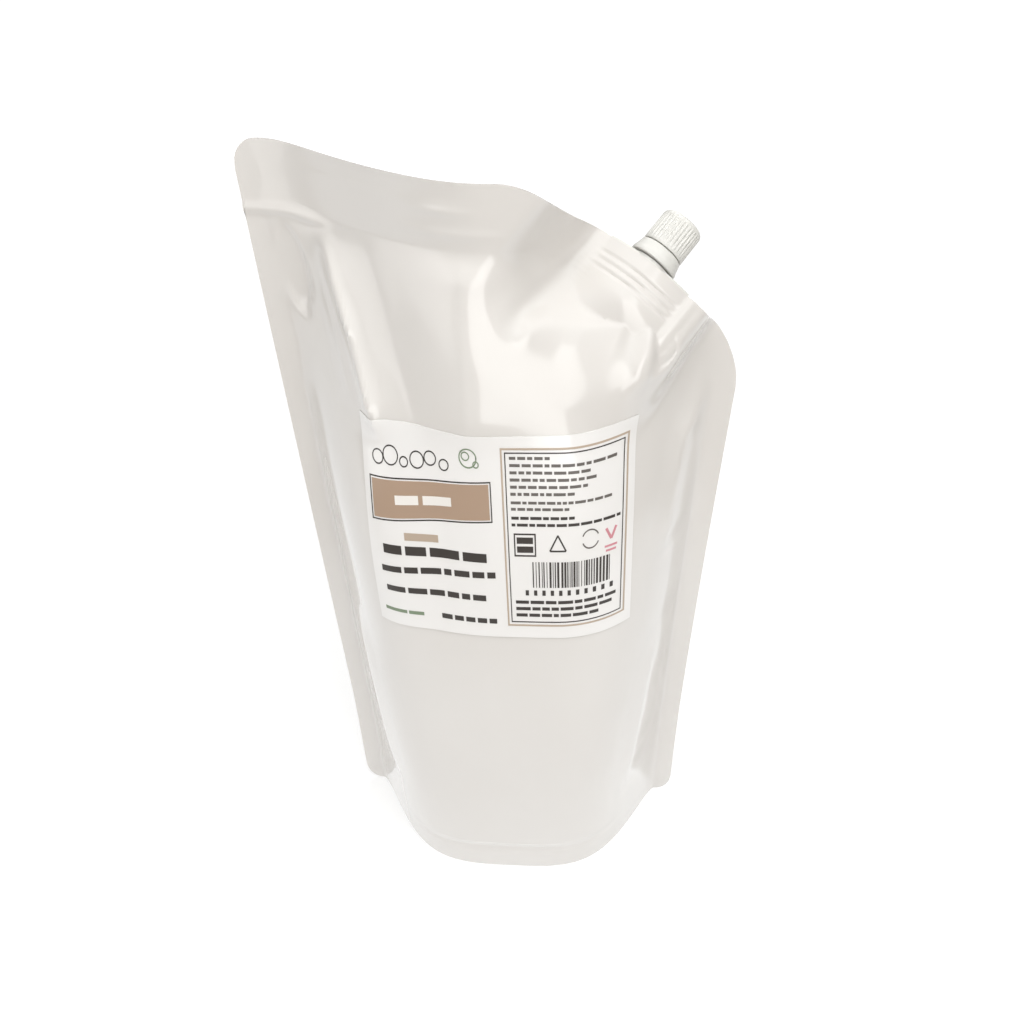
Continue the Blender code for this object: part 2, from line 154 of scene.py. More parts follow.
def top_of(s):
    """Upper edge of the flat outline: the lower of a level and a slanted line, blended, with arc corners."""
    under = HEIGHT - slant_t(s)
    soft = CORNER_SLANT
    blend = np.where(under < -soft, 0.0, (under + soft) ** 2 / (4 * soft))
    over = np.where(under > soft, under, blend)
    left = np.clip(CORNER_TOP - (s + WIDTH / 2), 0.0, CORNER_TOP)
    right = np.clip(CORNER_SHOULDER - (WIDTH / 2 - s), 0.0, CORNER_SHOULDER)
    top = HEIGHT - over - (CORNER_TOP - np.sqrt(CORNER_TOP ** 2 - left ** 2))
    return top - 0.9 * (CORNER_SHOULDER - np.sqrt(CORNER_SHOULDER ** 2 - right ** 2))


def bottom_of(s):
    """Lower edge of the flat outline: level, with arc corners."""
    near = np.clip(CORNER_BASE - (WIDTH / 2 - np.abs(s)), 0.0, CORNER_BASE)
    return CORNER_BASE - np.sqrt(CORNER_BASE ** 2 - near ** 2)


print("left side is", round(float(top_of(-WIDTH / 2 + CORNER_TOP)), 1), "mm tall, right side",
      round(float(top_of(WIDTH / 2)), 1), "mm")

# %% [markdown]
# ## Filled film
# At each height the two films stand off a middle surface by a rounded lens, deep at the base and closed at
# the top seal. The top, which holds no soap, leans and curls back at its corners. What the film spends
# going sideways it can't spend going up, so the filled pack is shorter than the flat one.

# %% The depth of the pouch, and the film laid out in space
STEPS_UP = 100            # steps in which the film's way up is added


def half_depth(s, t):
    """Each film's distance from the middle surface, in millimetres.

    It is middle(t) * (1 - |across|^square)^edge, brought to nothing under the slanted seal.
    """
    up = np.clip(t / (HEIGHT - TOP_SEAL), 0.0, 1.0)
    middle = BASE_HALF_DEPTH * (1.0 - up ** 1.9) + BELLY * np.sin(np.pi * up) * (1.0 - up)
    across = np.clip(np.abs(s) / (WIDTH / 2 - SIDE_SEAL), 0.0, 1.0)
    square = 3.7 + 1.2 * ease(up / 0.4) - 2.4 * ease((up - 0.6) / 0.4)
    edge = 1.5 - 0.2 * ease(1.3 * up)
    below = np.clip((slant_t(s) - t) / 60.0 - 0.2, 0.0, 1.0)
    return middle * (1.0 - across ** square) ** edge * ease(below) ** 0.7


def laid_out(s, t):
    """x, y, z and half depth of film places.

    Each short step up the film is the long side of a right triangle whose other sides are the step
    sideways, in x, y and depth, and the rise in z.
    """
    path = t[..., None] * np.linspace(0.0, 1.0, STEPS_UP + 1)
    side = np.broadcast_to(s[..., None], path.shape)
    v = path / HEIGHT
    half_width = BASE_HALF_WIDTH + (TOP_HALF_WIDTH - BASE_HALF_WIDTH) * v ** WIDENING
    x = side * half_width / (WIDTH / 2)
    left = ease(-side / (WIDTH / 2))
    right = ease((side - 25.0) / 70.0)
    y = LEAN_MIDDLE * v ** 2 + LEAN_LEFT * left * v ** 1.67 + LEAN_RIGHT * right * v ** 1.78
    y = y + BASE_WING * ease(np.abs(side) / 60.0 - 0.4) * (1.0 - ease(v * 5.0))
    depth = half_depth(side, path)
    run = np.diff(x) ** 2 + np.diff(y) ** 2 + np.diff(depth) ** 2
    rise = np.sqrt(np.clip(np.diff(path) ** 2 - run, 0.0, None)).sum(axis=-1)
    return x[..., -1], y[..., -1], rise, depth[..., -1]


print("the film's left corner stands", round(float(laid_out(np.array(-80.0), np.array(HEIGHT))[2]), 1), "mm up")

# %% [markdown]
# ## Folds
# A full pouch of stiff film doesn't bend softly everywhere: it breaks into flat facets that meet in folds.
# Sculpting or a noise could make creases, but not each in its own place. Each fold here is a ridge along a
# short line on the flat film, and each dent an oval. They are added to the film's distance from the middle
# surface, so one formula serves the mesh, the label and its print.

# %% A ridge, a dent and the gathers at the seals


def along(s, t, start, end):
    """Distance from the line start-end, signed by side, and the share of the way along it."""
    ds, dt = end[0] - start[0], end[1] - start[1]
    length = math.hypot(ds, dt)
    share = ((s - start[0]) * ds + (t - start[1]) * dt) / length ** 2
    across = ((s - start[0]) * dt - (t - start[1]) * ds) / length
    return across, share


def ridge(s, t, start, end, height, wide_right, wide_left, fade=0.25):
    """A tent along a line: full height on it, sloping to nothing over the two widths and at both ends."""
    across, share = along(s, t, start, end)
    wide = np.where(across > 0, wide_right, wide_left)
    tent = np.clip(1.0 - np.sqrt(across ** 2 + 0.16) / wide, 0.0, 1.0)
    ends = ease(share / fade) * ease((1.0 - share) / fade)
    return height * tent ** 1.5 * ends


def dent(s, t, centre, wide, tall, deep, turn=0.0):
    """An oval hollow (deep below 0) or swelling, turned by an angle in degrees."""
    c, n = math.cos(math.radians(turn)), math.sin(math.radians(turn))
    a = ((s - centre[0]) * c + (t - centre[1]) * n) / wide
    b = (-(s - centre[0]) * n + (t - centre[1]) * c) / tall
    return deep * hump(np.sqrt(a ** 2 + b ** 2))


def puckers(s, t, seed):
    """Small gathers where the flat side seals meet the round body: short waves, weaker by two thirds
    for every 9 mm inwards."""
    inside = WIDTH / 2 - SIDE_SEAL - np.abs(s)
    near = ease((inside + 3.0) / 5.0) * np.exp(-np.clip(inside, 0.0, None) / 9.0)
    phase = seed + np.sign(s)
    wave = np.sin(t / 7.3 + 2.0 * phase) * np.sin(t / 17.0 + phase) + 0.5 * np.sin(t / 4.1 + 3.0 * phase)
    return 0.35 * near * wave * ease((t - 20.0) / 30.0)


def inside_seals(s, t):
    """1 on the body of the pouch, 0 on its flat seals."""
    return ease((81.0 - np.abs(s)) / 8.0) * ease((253.0 - t) / 10.0) * ease((slant_t(s) - t - 10.0) / 14.0)


def folded(s, t, folds):
    """The sum of a list of folds, each a ridge or a dent with its sizes."""
    return sum(shape(s, t, *sizes) for shape, *sizes in folds)


aside = float(ridge(2.0, 5.0, (0, 0), (0, 10), 5.0, 9.0, 9.0))
print("a ridge 5 mm high is", round(aside, 2), "mm high 2 mm aside")

# %% The front film's folds
FRONT_FOLDS = [
    # the full left side, and the long creases that come down from the top left corner
    (dent, (-52.0, 160.0), 34.0, 66.0, 7.0),
    (ridge, (-60.0, 251.0), (-42.0, 188.0), 5.0, 9.0, 16.0),
    (ridge, (-61.5, 250.0), (-50.0, 218.0), 1.4, 5.0, 6.0),
    (ridge, (-54.5, 236.0), (-43.0, 190.0), 1.4, 5.0, 6.0),
    (ridge, (-65.0, 244.0), (-52.0, 190.0), 2.6, 7.0, 12.0, 0.3),
    # the hollow beside them at the left edge, and the broad crease in the middle
    (dent, (-75.0, 233.0), 8.0, 18.0, -6.0, 12.0),
    (ridge, (-8.0, 262.0), (-9.0, 190.0), 2.6, 24.0, 34.0, 0.2),
    # folds that run from the middle to the spout, and the hollow and creases under it
    (dent, (12.0, 236.0), 12.0, 7.0, -1.6, 35.0),
    (ridge, (8.0, 232.0), (27.0, 228.5), 1.8, 9.0, 5.0),
    (ridge, (22.0, 229.0), (44.0, 224.0), 2.2, 10.0, 5.0),
    (dent, (53.0, 217.0), 8.0, 15.0, -5.0, -12.0),
    (ridge, (46.5, 231.0), (49.0, 203.0), 2.6, 7.0, 6.0),
    (ridge, (64.0, 224.0), (50.0, 206.0), 2.4, 6.0, 7.0),
    # the facet at the right shoulder, the two sides, and the shallow line above the base seam
    (ridge, (86.0, 204.0), (71.0, 178.0), 2.6, 10.0, 14.0),
    (ridge, (72.0, 190.0), (68.0, 140.0), 2.2, 8.0, 20.0),
    (ridge, (-70.0, 120.0), (-62.0, 30.0), 2.0, 16.0, 8.0),
    (ridge, (70.0, 110.0), (62.0, 28.0), 2.0, 8.0, 16.0),
    (dent, (0.0, 13.5), 66.0, 4.0, -0.9),
]


def weld_marks(s, t):
    """Lines pressed into the top seal: each a narrow bell across t, over part of the width."""
    seam = 0.5 * np.exp(-((t - 264.5) / 1.2) ** 2) * hump((s + 14.0) / 14.0)
    seam += 0.45 * np.exp(-((t - 258.0) / 1.4) ** 2) * hump((s + 12.0) / 22.0)
    seam += 0.3 * np.exp(-((t - 256.0) / 1.3) ** 2) * hump((s - 22.0) / 13.0)
    seam -= 0.5 * np.exp(-((t - 269.5) / 1.6) ** 2) * ease((s + 66.0) / 12.0) * ease((-4.0 - s) / 8.0)
    return seam + 0.9 * np.exp(-((t - 251.5) / 1.5) ** 2) * ease((-56.0 - s) / 10.0)


def front_folds(s, t):
    """Every fold of the front film, in millimetres outwards."""
    return folded(s, t, FRONT_FOLDS) * inside_seals(s, t) + puckers(s, t, 0.4) + weld_marks(s, t)


print(len(FRONT_FOLDS), "folds in front")

# %% The back film's folds, which are fewer and softer
BACK_FOLDS = [
    (ridge, (40.0, 250.0), (18.0, 150.0), 3.5, 18.0, 12.0),
    (ridge, (-48.0, 246.0), (-30.0, 160.0), 3.0, 12.0, 16.0),
    (dent, (-66.0, 224.0), 10.0, 24.0, -3.0, 10.0),
    (dent, (4.0, 236.0), 20.0, 12.0, -2.0),
    (ridge, (-70.0, 120.0), (-62.0, 30.0), 2.0, 16.0, 8.0),
    (ridge, (70.0, 110.0), (62.0, 28.0), 2.0, 8.0, 16.0),
    (dent, (0.0, 13.5), 66.0, 4.0, -0.9),
]


def back_folds(s, t):
    """Every fold of the back film, in millimetres outwards."""
    return folded(s, t, BACK_FOLDS) * inside_seals(s, t) + puckers(s, t, 2.1)


print(len(BACK_FOLDS), "folds behind")

# %% [markdown]
# ## Round the spout
# The spout is a moulding with a stiff boat-shaped foot welded between the films. A Shrinkwrap could pull the
# film onto it, but would leave a step at its edge. So the film near it follows the boat's own frame instead
# of the pouch's curve, and swells over it. The frame comes from the cap's joint: its point and axis. The
# boat's ribs print through the weld as three fine grooves.

# %% The spout's frame
JOINT = frame["joints"][0]
SPOUT_AT = np.array(JOINT["pos_m"]) / MM
SPOUT_OUT = np.array(JOINT["axis"])
SPOUT_OUT = SPOUT_OUT / np.linalg.norm(SPOUT_OUT)
SPOUT_EDGE = np.array([0.780, -0.400, -0.480])     # along the slanted edge, before it is squared to the axis
SPOUT_EDGE = SPOUT_EDGE - SPOUT_OUT * (SPOUT_EDGE @ SPOUT_OUT)
SPOUT_EDGE = SPOUT_EDGE / np.linalg.norm(SPOUT_EDGE)
SPOUT_BACK = np.cross(SPOUT_OUT, SPOUT_EDGE)
print("spout at", SPOUT_AT.round(1), "mm, pointing", SPOUT_OUT.round(2))

# %% The film round the spout
GROOVES = (-4.9, -7.3, -9.7)                       # places along the axis
GROOVE_DEEP = 0.5
GROOVE_HALF = 0.55
STRAIGHT_BACK = np.array([0.0, 1.0, 0.0])


def spout_place(s, t):
    """Film places measured from the spout: along the slanted edge, and out across it."""
    slope = math.atan2(HEIGHT - SHOULDER, WIDTH / 2 - SLANT_START)
    ds = s - BOAT_S
    dt = t - slant_t(BOAT_S)
    return ds * math.cos(slope) - dt * math.sin(slope), ds * math.sin(slope) + dt * math.cos(slope)


def films(s, t, lift=0.0):
    """Front and back film points at (s, t) in millimetres, the front ones lifted outwards.

    Near the spout the middle surface turns to the boat's plane, and the depth is the larger of the
    pouch's own and the boat's, a lens closed at its two tips.
    """
    x, y, z, depth = laid_out(s, t)
    u, w = spout_place(s, t)
    flat = SPOUT_AT + u[..., None] * SPOUT_EDGE + w[..., None] * SPOUT_OUT
    stiff = ease((41.0 - np.abs(u)) / 24.0) * ease((w + 42.0) / 28.0)
    middle = np.stack([x, y, z], axis=-1)
    middle = middle + (flat - middle) * stiff[..., None]
    towards = STRAIGHT_BACK + (SPOUT_BACK - STRAIGHT_BACK) * stiff[..., None]
    towards = towards / np.linalg.norm(towards, axis=-1, keepdims=True)
    lens = np.clip(1.0 - (np.abs(u) / (BOAT_LENGTH / 2)) ** 1.6, 0.0, 1.0)
    wrap = (BOAT_THICK / 2 - BOAT_TIP) * lens + BOAT_TIP + WRAP
    groove = sum(np.exp(-((w - g) / GROOVE_HALF) ** 2) for g in GROOVES)
    wrap = wrap - GROOVE_DEEP * groove * ease((BOAT_LENGTH / 2 + 1.0 - np.abs(u)) / 3.0)
    wrap = wrap * ease((BOAT_LENGTH / 2 + 6.0 - np.abs(u)) / 4.0) * ease((w + 28.0) / 15.0)
    clear = 1.0 - ease((w + 16.0) / 6.0)           # folds stop short of the slanted seal
    front = np.maximum(depth + FILM / 2 + front_folds(s, t) * clear, wrap)
    back = np.maximum(depth + FILM / 2 + back_folds(s, t) * clear, wrap)
    front = np.maximum(front, FILM / 4) + lift
    back = np.maximum(back, FILM / 4)
    return middle - towards * front[..., None], middle + towards * back[..., None]


print("boat", BOAT_LENGTH, "by", BOAT_THICK, "mm, with", len(GROOVES), "grooves")

# %% Uneven spacing, for a mesh that is finer where it has more to show


def crowded(low, high, count, weight):
    """count + 1 values from low to high, closer together where weight(value) is large."""
    fine = np.linspace(low, high, 2001)
    w = weight(fine)
    total = np.concatenate([[0.0], np.cumsum((w[1:] + w[:-1]) / 2)])
    return np.interp(np.linspace(0.0, total[-1], count + 1), total, fine)


print("four steps crowded to the right:", crowded(0.0, 1.0, 4, lambda v: 1.0 + v).round(2))

# %% [markdown]
# ## Meshes from grids
# Film, paper and mouldings are all smooth surfaces with two directions, so each is a grid of points worked
# out at once. The faces could come from bpy.ops.mesh.primitive_grid_add and a displacement, but numbering
# them by hand lets grids be joined into one closed surface.

# %% Faces from grids


def grid_quads(rows, columns, start=0, turn=False):
    """Quads of a grid of points numbered row by row from start, as one array."""
    i, j = np.meshgrid(np.arange(rows - 1), np.arange(columns - 1), indexing="ij")
    a = start + i * columns + j
    quads = np.stack([a, a + 1, a + columns + 1, a + columns], axis=-1).reshape(-1, 4)
    return quads[:, ::-1] if turn else quads


def strip(first, second, closed=False):
    """Quads between two lines of point numbers of the same length."""
    first, second = np.asarray(first), np.asarray(second)
    after = np.roll(np.arange(len(first)), -1)
    if not closed:
        after = after[:-1]
    here = np.arange(len(after))
    return np.stack([first[here], first[after], second[after], second[here]], axis=-1)


print("a grid of 3 by 4 points has", len(grid_quads(3, 4)), "faces")

# %% An object from points and faces
MERGE = 1e-6              # points nearer than this, in metres, become one


def add_piece(name, points_mm, faces, finish, body, smooth=35.0):
    """A mesh piece in metres from points in millimetres, riding on a body.

    Its points are already in place, so nothing is moved afterwards. Doubles are merged, faces turned
    outwards, and edges sharper than the angle smooth stay sharp.
    """
    mesh = bpy.data.meshes.new(name)
    mesh.from_pydata((np.asarray(points_mm) * MM).tolist(), [], [list(map(int, f)) for f in faces])
    piece = bpy.data.objects.new(name, mesh)
    bpy.context.scene.collection.objects.link(piece)
    working = bmesh.new()
    working.from_mesh(mesh)
    bmesh.ops.remove_doubles(working, verts=working.verts, dist=MERGE)
    bmesh.ops.recalc_face_normals(working, faces=working.faces)
    working.to_mesh(mesh)
    working.free()
    mesh.materials.append(finish)
    mesh.shade_smooth()
    mesh.set_sharp_from_angle(angle=math.radians(smooth))
    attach(piece, body)
    print(name, len(mesh.vertices), "points,", len(mesh.polygons), "faces")
    return piece


print("points merge within", MERGE, "m")

# %% [markdown]
# ## Finishes
# The film is laminated polyester: white, glossy, with the faint unevenness of a film that has been
# drawn tight. The spout, ring and cap are moulded polyethylene, softer in their shine. The label is
# coated paper. Plain colours would look like one clean plastic. So one shared group makes a fine
# unevenness, and each material places it with its own scale.

# %% Shared node group
NOISE_DETAIL = 3.0
FINE_SHARE = 0.25         # how much the fine noise adds to the broad one's height


def unevenness_group():
    """Two scales of noise on Object coordinates: tone is the broad one, height is broad + share * fine."""
    group = bpy.data.node_groups.new("surface_unevenness", "ShaderNodeTree")
    group.interface.new_socket("Broad Scale", in_out="INPUT", socket_type="NodeSocketFloat")
    group.interface.new_socket("Fine Scale", in_out="INPUT", socket_type="NodeSocketFloat")
    group.interface.new_socket("Height", in_out="OUTPUT", socket_type="NodeSocketFloat")
    group.interface.new_socket("Tone", in_out="OUTPUT", socket_type="NodeSocketFloat")
    nodes, links = group.nodes, group.links
    inside = nodes.new("NodeGroupInput")
    outside = nodes.new("NodeGroupOutput")
    place = nodes.new("ShaderNodeTexCoord")
    broad = nodes.new("ShaderNodeTexNoise")
    fine = nodes.new("ShaderNodeTexNoise")
    both = nodes.new("ShaderNodeMath")
    both.operation = "MULTIPLY_ADD"
    both.inputs[1].default_value = FINE_SHARE
    for noise, name in ((broad, "Broad Scale"), (fine, "Fine Scale")):
        links.new(place.outputs["Object"], noise.inputs["Vector"])
        links.new(inside.outputs[name], noise.inputs["Scale"])
        noise.inputs["Detail"].default_value = NOISE_DETAIL
    links.new(fine.outputs["Fac"], both.inputs[0])
    links.new(broad.outputs["Fac"], both.inputs[2])
    links.new(both.outputs[0], outside.inputs["Height"])
    links.new(broad.outputs["Fac"], outside.inputs["Tone"])
    return group


UNEVEN = unevenness_group()
print(UNEVEN.name, "has", len(UNEVEN.nodes), "nodes")

# %% Two helpers: a mix of colours, and a whole finish
COLOUR_A, COLOUR_B = 6, 7        # a Mix node keeps sockets for numbers, vectors and colours side by side:
COLOUR_RESULT = 2                # these are the ones for colours
BUMP_DISTANCE = 0.0004
COAT_ROUGHNESS = 0.06


def colour_mix(nodes, first=None, second=None):
    """A Mix node for colours, from the first at 0 to the second at 1."""
    mix = nodes.new("ShaderNodeMix")
    mix.data_type = "RGBA"
    for socket, colour in ((COLOUR_A, first), (COLOUR_B, second)):
        if colour:
            mix.inputs[socket].default_value = (*colour, 1.0)
    return mix


def finish(name, light, dark, roughness, broad, fine, bump, coat=0.0, spread=0.06):
    """A Principled material whose colour and roughness drift between two values with the shared noise."""
    made = bpy.data.materials.new(name)
    made.use_nodes = True
    nodes, links = made.node_tree.nodes, made.node_tree.links
    shader = nodes["Principled BSDF"]
    uneven = nodes.new("ShaderNodeGroup")
    uneven.node_tree = UNEVEN
    uneven.inputs["Broad Scale"].default_value = broad
    uneven.inputs["Fine Scale"].default_value = fine
    colour = colour_mix(nodes, dark, light)
    links.new(uneven.outputs["Tone"], colour.inputs[0])
    links.new(colour.outputs[COLOUR_RESULT], shader.inputs["Base Color"])
    shine = nodes.new("ShaderNodeMapRange")
    shine.inputs["To Min"].default_value = roughness - spread / 2
    shine.inputs["To Max"].default_value = roughness + spread / 2
    links.new(uneven.outputs["Tone"], shine.inputs["Value"])
    links.new(shine.outputs["Result"], shader.inputs["Roughness"])
    height = nodes.new("ShaderNodeBump")
    height.inputs["Strength"].default_value = bump
    height.inputs["Distance"].default_value = BUMP_DISTANCE
    links.new(uneven.outputs["Height"], height.inputs["Height"])
    links.new(height.outputs["Normal"], shader.inputs["Normal"])
    shader.inputs["Specular IOR Level"].default_value = 0.5 + 0.35 * coat
    shader.inputs["Coat Weight"].default_value = coat
    shader.inputs["Coat Roughness"].default_value = COAT_ROUGHNESS
    return made


print("bump distance", BUMP_DISTANCE, "m")

# %% Film, moulding and paper: light, dark, roughness, two noise scales, bump and coat
FILM_FINISH = finish("white_film", (0.695, 0.675, 0.65), (0.655, 0.628, 0.60), 0.17, 22.0, 160.0, 0.10, 1.0)
MOULDED = finish("white_moulding", (0.66, 0.655, 0.625), (0.63, 0.625, 0.595), 0.36, 60.0, 900.0, 0.08)
PAPER = finish("label_paper", (0.81, 0.797, 0.783), (0.795, 0.782, 0.768), 0.22, 30.0, 1400.0, 0.05, 1.0)
print(FILM_FINISH.name, MOULDED.name, PAPER.name)

# %% Inks: two with the grain of dark ink, the others a little smoother


def ink(name, light, dark, roughness=0.32, broad=50.0, fine=1200.0, coat=0.2):
    """An ink: a finish with a thin bump and a thin coat."""
    return finish(name, light, dark, roughness, broad, fine, 0.04, coat)


INK_DARK = ink("dark_ink", (0.045, 0.038, 0.034), (0.030, 0.025, 0.022), 0.34, 80.0, 1500.0)
INK_GREY = ink("grey_ink", (0.14, 0.125, 0.115), (0.11, 0.10, 0.09), 0.34, 80.0, 1500.0)
INK_BROWN = ink("brown_ink", (0.40, 0.285, 0.205), (0.375, 0.265, 0.19), coat=0.3)
INK_TAN = ink("tan_ink", (0.46, 0.37, 0.29), (0.43, 0.345, 0.27))
INK_PALE = ink("pale_ink", (0.80, 0.77, 0.73), (0.77, 0.74, 0.70))
INK_GREEN = ink("green_ink", (0.20, 0.26, 0.17), (0.17, 0.23, 0.145))
INK_ROSE = ink("rose_ink", (0.62, 0.26, 0.30), (0.57, 0.23, 0.27))
print(len([m for m in bpy.data.materials if m.name.endswith("_ink")]), "inks")

# %% [markdown]
# ## The pouch
# The real pouch is one sealed bag, so front film, back film, their cut edges and the underside make one
# closed surface. A Solidify modifier on each film would give open sheets with a gap between them. Columns
# crowd round the spout, rows towards the top, where the fine grooves are. Below, the two films end in a hem;
# inside it the gusset film rises in a groove and then sags to the flat patch that the pack stands on.

# %% The underside
HEM = 0.9
GROOVE_DEPTH = 6.0
PATCH_INSET = 17.0
# how far in from the edge, in millimetres, and the share of the groove's depth there
GUSSET_LINE = [(HEM, 0.0), (HEM + 0.3, 0.7), (2.6, 0.95), (4.5, 1.0), (6.5, 0.86), (9.0, 0.62),
               (12.0, 0.3), (14.5, 0.1), (PATCH_INSET, 0.0)]


def underside(front, back):
    """Rows of points across the base from the front hem to the back hem: hem, groove, flat patch, and back."""
    width = np.abs(back[:, 1] - front[:, 1]) / 2
    rows = []
    for inset, height in GUSSET_LINE:
        share = np.minimum(inset, width * 0.9 * inset / PATCH_INSET) / np.maximum(width, 1e-6)
        row = front + (back - front) * (share / 2)[:, None]
        row[:, 2] = np.minimum(front[:, 2], back[:, 2]) + GROOVE_DEPTH * height * ease((width - 3.0) / 16.0)
        rows.append(row)
    mirrored = [np.column_stack([(front + back - row)[:, :2], row[:, 2]]) for row in rows[::-1]]
    centre = (front + back) / 2
    centre[:, 2] = np.minimum(front[:, 2], back[:, 2])
    return np.array([front] + rows + [centre] + mirrored + [back])


print("the underside has", 2 * len(GUSSET_LINE) + 3, "rows")

# %% The two films
COLUMNS = 188
ROWS = 204
AT_ONCE = 24              # columns worked out at a time


def film_grids():
    """Front and back film points on the crowded grid, worked out a few columns at a time to save memory."""
    s = crowded(-WIDTH / 2, WIDTH / 2, COLUMNS,
                lambda v: 1.0 + 1.1 * hump((v - 47.0) / 22.0) + 0.8 * ease((np.abs(v) - 82.0) / 5.0))
    share = crowded(0.0, 1.0, ROWS, lambda v: 1.0 + 1.3 * ease((v - 0.84) / 0.08))[:, None]
    low, high = bottom_of(s), top_of(s)
    t = low + (high - low) * share
    parts = []
    for k in range(0, len(s), AT_ONCE):
        some = t[:, k:k + AT_ONCE]
        parts.append(films(np.broadcast_to(s[k:k + AT_ONCE], some.shape), some))
    return tuple(np.concatenate(films_of, axis=1) for films_of in zip(*parts))


print("each film is", ROWS, "by", COLUMNS, "faces")

# %% The closed pouch


def make_pouch():
    """Front, back and underside grids, joined by strips along the cut edges and by two end faces."""
    front, back = film_grids()
    rows, columns = front.shape[:2]
    front[..., 2] = np.maximum(front[..., 2], 0.0)
    back[..., 2] = np.maximum(back[..., 2], 0.0)
    under = underside(front[0], back[0])
    points = np.concatenate([front.reshape(-1, 3), back.reshape(-1, 3), under.reshape(-1, 3)])
    number = np.arange(rows * columns).reshape(rows, columns)
    behind = number + rows * columns
    below = 2 * rows * columns + np.arange(len(under) * columns).reshape(len(under), columns)
    faces = [grid_quads(rows, columns), grid_quads(rows, columns, rows * columns, True),
             grid_quads(len(under), columns, 2 * rows * columns, True),
             strip(number[1:, 0], behind[1:, 0]), strip(number[1:, -1], behind[1:, -1]),
             strip(number[-1], behind[-1])]
    faces = [list(f) for group in faces for f in group]
    for j in (0, -1):                              # the ends of the underside, left and right
        faces.append([number[1, j], behind[1, j]] + list(below[::-1, j]))
    pouch = add_piece("pouch_film", points, faces, FILM_FINISH, "pack", 50.0)
    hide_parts("pouch")


make_pouch()

# %% [markdown]
# ## The label
# A sheet of coated paper pressed onto the front film, so it bends wherever the film does. A Shrinkwrap
# modifier could press it on, but here the film's own formula is at hand. Label places are given in
# millimetres of film from its lower left corner; on_label() turns them onto the film and lifts them off it.

# %% Label places
LABEL_WIDE = 104.0
LABEL_TALL = 72.0
LABEL_LEFT = -50.5
LABEL_LOW = 126.5
LABEL_HEAD = 0.975        # the head's width, as a share of the width above
LABEL_SPREAD = 0.04       # how much wider the foot is, to follow the film where it rounds away
PAPER_LOW, PAPER_HIGH = 0.15, 0.45                 # faces of the paper, from the film
INK_LOW, INK_HIGH = 0.35, 0.55
PALE_LOW, PALE_HIGH = 0.45, 0.61                   # ink on ink


def on_label(x, y, lift):
    """Points in space for label places x, y, standing lift off the front film."""
    x = np.asarray(x, float)
    y = np.asarray(y, float)
    s = LABEL_LEFT + x * (LABEL_HEAD + LABEL_SPREAD * (1.0 - y / LABEL_TALL))
    return films(s, LABEL_LOW + y, lift)[0]


def slab(x, y, low, high, start):
    """A thin closed slab over a grid of label places: its points, and faces numbered from start."""
    rows, columns = x.shape
    points = np.concatenate([on_label(x, y, high).reshape(-1, 3), on_label(x, y, low).reshape(-1, 3)])
    count = rows * columns
    number = np.arange(count).reshape(rows, columns)
    rim = np.concatenate([number[0], number[1:, -1], number[-1, -2::-1], number[-2:0:-1, 0]])
    faces = np.concatenate([grid_quads(rows, columns), grid_quads(rows, columns, count, True),
                            strip(rim + count, rim, True)])
    return points, faces + start


print("label's lower left corner at", on_label(0.0, 0.0, 0.0).round(1), "mm")

# %% The label sheet
LABEL_COLUMNS, LABEL_ROWS = 120, 80


def make_label():
    """A slab over the whole label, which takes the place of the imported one."""
    x, y = np.meshgrid(np.linspace(0.0, LABEL_WIDE, LABEL_COLUMNS), np.linspace(0.0, LABEL_TALL, LABEL_ROWS))
    points, faces = slab(x, y, PAPER_LOW, PAPER_HIGH, 0)
    label = add_piece("label_sheet", points, faces, PAPER, "pack")
    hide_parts("label")


make_label()

# %% [markdown]
# ## The print
# A real label is printed flat. An image texture could carry the print, but shapes of ink stay sharp from
# close by and can be changed by hand. Bars stand where lines of words would be, and plain figures where
# small signs would be. Each colour is one piece, and every shape is a thin slab that follows the label.

# %% Shapes of ink: bars, rings and strokes
BAR_STEP = 2.5            # a bar bends with the label about every so many millimetres across
BAR_STEP_UP = 4
STROKE_STEP = 3


def bar(x0, y0, x1, y1):
    """A rectangle of label places."""
    columns = max(2, int(abs(x1 - x0) / BAR_STEP) + 2)
    rows = 2 + int(abs(y1 - y0) / BAR_STEP_UP)
    return np.meshgrid(np.linspace(x0, x1, columns), np.linspace(y0, y1, rows))


def ring(cx, cy, radius, wide, start=0.0, end=360.0, steps=28):
    """Part of a flat ring: radius times the cosine and sine of the angle, from start to end in degrees."""
    angle, r = np.meshgrid(np.radians(np.linspace(end, start, steps)), [radius - wide, radius])
    return cx + r * np.cos(angle), cy + r * np.sin(angle)


def stroke(x0, y0, x1, y1, wide):
    """A straight line of ink from one place to another."""
    length = math.hypot(x1 - x0, y1 - y0)
    nx, ny = -(y1 - y0) / length * wide / 2, (x1 - x0) / length * wide / 2
    k, side = np.meshgrid(np.linspace(0.0, 1.0, max(2, int(length / STROKE_STEP) + 2)), [-1.0, 1.0])
    return x0 + (x1 - x0) * k + nx * side, y0 + (y1 - y0) * k + ny * side


print("a bar 20 mm long has", bar(0.0, 0.0, 20.0, 1.0)[0].shape[1] - 1, "faces in a row")

# %% Frames, lines of words, and a piece of ink


def frame_lines(x0, y0, x1, y1, wide):
    """Four bars that make a rectangular line frame."""
    return [bar(x0, y0, x1, y0 + wide), bar(x0, y1 - wide, x1, y1),
            bar(x0, y0 + wide, x0 + wide, y1 - wide), bar(x1 - wide, y0 + wide, x1, y1 - wide)]


